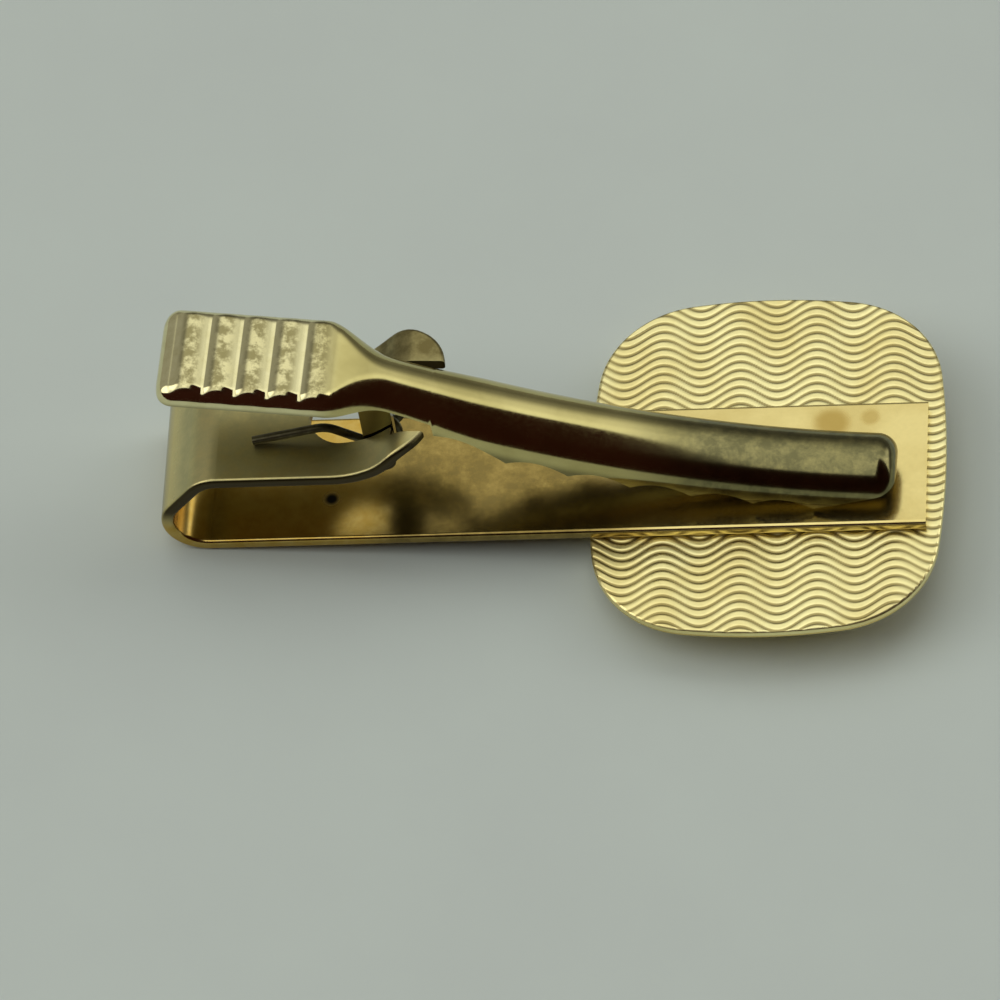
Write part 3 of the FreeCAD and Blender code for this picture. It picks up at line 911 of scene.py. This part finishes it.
def gilt(name, bright, deep, smooth, rough, painted_by_place=(), stains_and_shade=()):
    """Worn gilt: two shades in clouds, an uneven gloss, painted shade and sheen by place, stains and
    pinholes.
    """
    material, nodes, links, shader = new_material(name)
    place = nodes.new("ShaderNodeTexCoord").outputs["Object"]
    cloud = noise(nodes, links, place, *cloud_noise)
    fine = noise(nodes, links, place, *fine_noise)
    mottle = noise(nodes, links, place, *mottle_noise)
    colour = ramp(nodes, links, cloud, list(zip(cloud_span, (deep, bright))))
    gloss = ramp(nodes, links, fine, list(zip(fine_span, (grey(smooth), grey(rough)))))
    patchy = ramp(nodes, links, mottle, list(zip(patch_span, (grey(patch_least), grey(1)))))
    # Colour by place: painted shade, a painted sheen and a darker tip
    for shade, dull, strength, bands in painted_by_place:
        mask = computed(nodes, links, "MULTIPLY", banded(nodes, links, place, bands), patchy)
        mask = computed(nodes, links, "MULTIPLY", mask, strength)
        colour = mixed(nodes, links, mask, colour, shade)
        gloss = mixed(nodes, links, mask, gloss, grey(dull))
    # Marks round points: painted shade and stains
    for shade, marks in stains_and_shade:
        mask = marked(nodes, links, place, cloud, marks)
        colour = mixed(nodes, links, mask, colour, shade)
        gloss = mixed(nodes, links, mask, gloss, grey(mark_roughness))
    pits = nodes.new("ShaderNodeTexVoronoi")
    pits.inputs["Scale"].default_value = pit_density / mm
    links.new(place, pits.inputs["Vector"])
    spot = eased(nodes, links, pits.outputs["Distance"], *pit_span, pit_strength)
    colour = mixed(nodes, links, spot, colour, dirt_and_shade)
    if name == "gilt_back":
        colour = browned_grooves(nodes, links, colour)
    elif name == "gilt_bar":
        colour = painted_bar_shade(nodes, links, place, colour)
    elif name == "gilt_lever":
        colour = lever_shade_and_ribs(nodes, links, mottle, colour)
    links.new(colour, shader.inputs["Base Color"])
    links.new(gloss, shader.inputs["Roughness"])
    shader.inputs["Metallic"].default_value = 1
    relief = nodes.new("ShaderNodeBump")
    relief.inputs["Strength"].default_value = relief_strength
    relief.inputs["Distance"].default_value = relief_depth * mm
    links.new(fine, relief.inputs["Height"])
    links.new(relief.outputs["Normal"], shader.inputs["Normal"])
    return material


def spring_metal():
    """Dark steel wire with dull, brownish patches."""
    material, nodes, links, shader = new_material("dark_steel_wire")
    place = nodes.new("ShaderNodeTexCoord").outputs["Object"]
    cloud = noise(nodes, links, place, *steel_noise)
    colour = ramp(nodes, links, cloud, list(zip(steel_span, (steel_deep, steel_pale))))
    links.new(colour, shader.inputs["Base Color"])
    shader.inputs["Metallic"].default_value = steel_metallic
    haze = ramp(nodes, links, cloud, list(zip(steel_span, (grey(steel_rough), grey(steel_smooth)))))
    links.new(haze, shader.inputs["Roughness"])
    return material


def dress(piece, material):
    piece.data.materials.clear()
    piece.data.materials.append(material)


# Stage

def add_floor():
    """A pale, slightly mottled table top."""
    run = fold_touch[0] - floor_touch[0]
    lean = math.atan2(fold_touch[1] - floor_touch[1], -run)
    reach = floor_size * half * mm
    mesh = bpy.data.meshes.new("floor")
    corners = [(-reach, -reach, 0), (reach, -reach, 0), (reach, reach, 0), (-reach, reach, 0)]
    mesh.from_pydata(corners, [], [(0, 1, 2, 3)])
    floor = bpy.data.objects.new("floor", mesh)
    bpy.context.scene.collection.objects.link(floor)
    floor.location = Vector((floor_touch[0], 0, floor_touch[1])) * mm
    floor.rotation_euler = (0, lean, 0)
    material, nodes, links, shader = new_material("table_top")
    place = nodes.new("ShaderNodeTexCoord").outputs["Object"]
    cloud = noise(nodes, links, place, *floor_noise)
    colour = ramp(nodes, links, cloud, list(zip(floor_span, (floor_deep, floor_pale))))
    links.new(colour, shader.inputs["Base Color"])
    shader.inputs["Roughness"].default_value = floor_roughness
    dress(floor, material)


def add_world():
    """Soft light overhead and from both ends of the clip, dim behind it and dark on the viewer's side."""
    world = bpy.data.worlds.new("studio")
    bpy.context.scene.world = world
    world.use_nodes = True
    nodes = world.node_tree.nodes
    links = world.node_tree.links

    def joined(first, *others):
        for other in others:
            first = computed(nodes, links, "MULTIPLY", first, other)
        return first

    direction = nodes.new("ShaderNodeTexCoord").outputs["Generated"]
    axes = nodes.new("ShaderNodeSeparateXYZ")
    links.new(direction, axes.inputs["Vector"])
    x = axes.outputs["X"]
    lean = computed(nodes, links, "ARCTAN2", axes.outputs["Y"], axes.outputs["Z"])
    turn = computed(nodes, links, "MULTIPLY_ADD", lean, 1 / math.tau, half)
    sky = ramp(nodes, links, turn, [(half + degrees / 360, colour) for degrees, colour in sky_colours])

    lifted = eased(nodes, links, axes.outputs["Z"], *lifted_span)
    sky = mixed(nodes, links, eased(nodes, links, x, *dim_left_span), sky, dim_left)
    near_top = eased(nodes, links, lean, *[math.radians(angle) for angle in left_light_lean])
    to_left = eased(nodes, links, x, *left_light_span)
    sky = mixed(nodes, links, joined(lifted, near_top, to_left), sky, left_light)
    to_right = eased(nodes, links, x, *right_light_span)
    sky = mixed(nodes, links, joined(lifted, to_right), sky, right_light)

    rise = eased(nodes, links, x, *viewer_rise_span, math.radians(viewer_edge_rise))
    slanted = computed(nodes, links, "SUBTRACT", lean, rise)
    edge = math.radians(viewer_edge)
    lit = eased(nodes, links, slanted, edge - math.radians(viewer_edge_soft), edge)
    sky = mixed(nodes, links, lit, viewer_dark, sky)
    seen = nodes.new("ShaderNodeLightPath").outputs["Is Camera Ray"]
    shown = mixed(nodes, links, seen, sky, backdrop)
    links.new(shown, nodes["Background"].inputs["Color"])


def add_camera():
    tilt = math.radians(camera_tilt)
    swing = math.radians(camera_swing)
    roll = math.radians(camera_roll)
    level = Vector((math.cos(swing), math.sin(swing), 0))
    toward = Vector((math.sin(swing) * math.cos(tilt), -math.cos(swing) * math.cos(tilt), math.sin(tilt)))
    steep = toward.cross(level)
    picture_x = level * math.cos(roll) - steep * math.sin(roll)
    picture_y = level * math.sin(roll) + steep * math.cos(roll)
    eye = toward * camera_distance
    off_x = (picture_half - origin_pixel[0]) / picture_scale
    off_y = (origin_pixel[1] - picture_half) / picture_scale
    back = (eye - picture_x * off_x - picture_y * off_y).normalized()
    right = picture_y.cross(back).normalized()
    data = bpy.data.cameras.new("camera")
    data.lens = camera_lens
    data.sensor_width = camera_sensor
    data.clip_end = camera_clip * mm
    camera = bpy.data.objects.new("camera", data)
    bpy.context.scene.collection.objects.link(camera)
    camera.matrix_world = Matrix((right, back.cross(right), back)).transposed().to_4x4()
    camera.location = eye * mm
    bpy.context.scene.camera = camera


bpy.context.scene.view_settings.view_transform = "Standard"
add_camera()
add_world()
add_floor()

polished = gilt("gilt_lever", bright=(0.62, 0.54, 0.23), deep=(0.50, 0.43, 0.17), smooth=0.10, rough=0.16,
                painted_by_place=[tip_darkening, pad_painted_sheen], stains_and_shade=[hinge_painted_shade])
satin = gilt("gilt_bar", bright=(0.80, 0.66, 0.28), deep=(0.70, 0.56, 0.22), smooth=0.16, rough=0.24,
             painted_by_place=[arm_painted_shade, cheek_painted_shade, throat_painted_shade, middle_painted_shade],
             stains_and_shade=[slot_painted_shade, throat_painted_shadow, end_stains])
turned_gilt = gilt("gilt_back", bright=(1.00, 0.90, 0.45), deep=(0.90, 0.77, 0.34), smooth=0.28, rough=0.36)
face_gilt = gilt("gilt_face", bright=(0.82, 0.65, 0.26), deep=(0.74, 0.57, 0.21), smooth=0.14, rough=0.22)

lever = add_lever()
dress(lever, polished)
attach(lever, "lever")
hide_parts("lever")

back_plate = add_back_plate()
dress(back_plate, turned_gilt)
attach(back_plate, "base")
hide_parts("back_plate")

spring = add_spring()
dress(spring, spring_metal())
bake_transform(spring)
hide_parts("torsion_spring")

dress(frame["nodes"]["base_bar"], satin)
dress(frame["nodes"]["face_shell"], face_gilt)
dress(frame["nodes"]["hinge_pin"], satin)
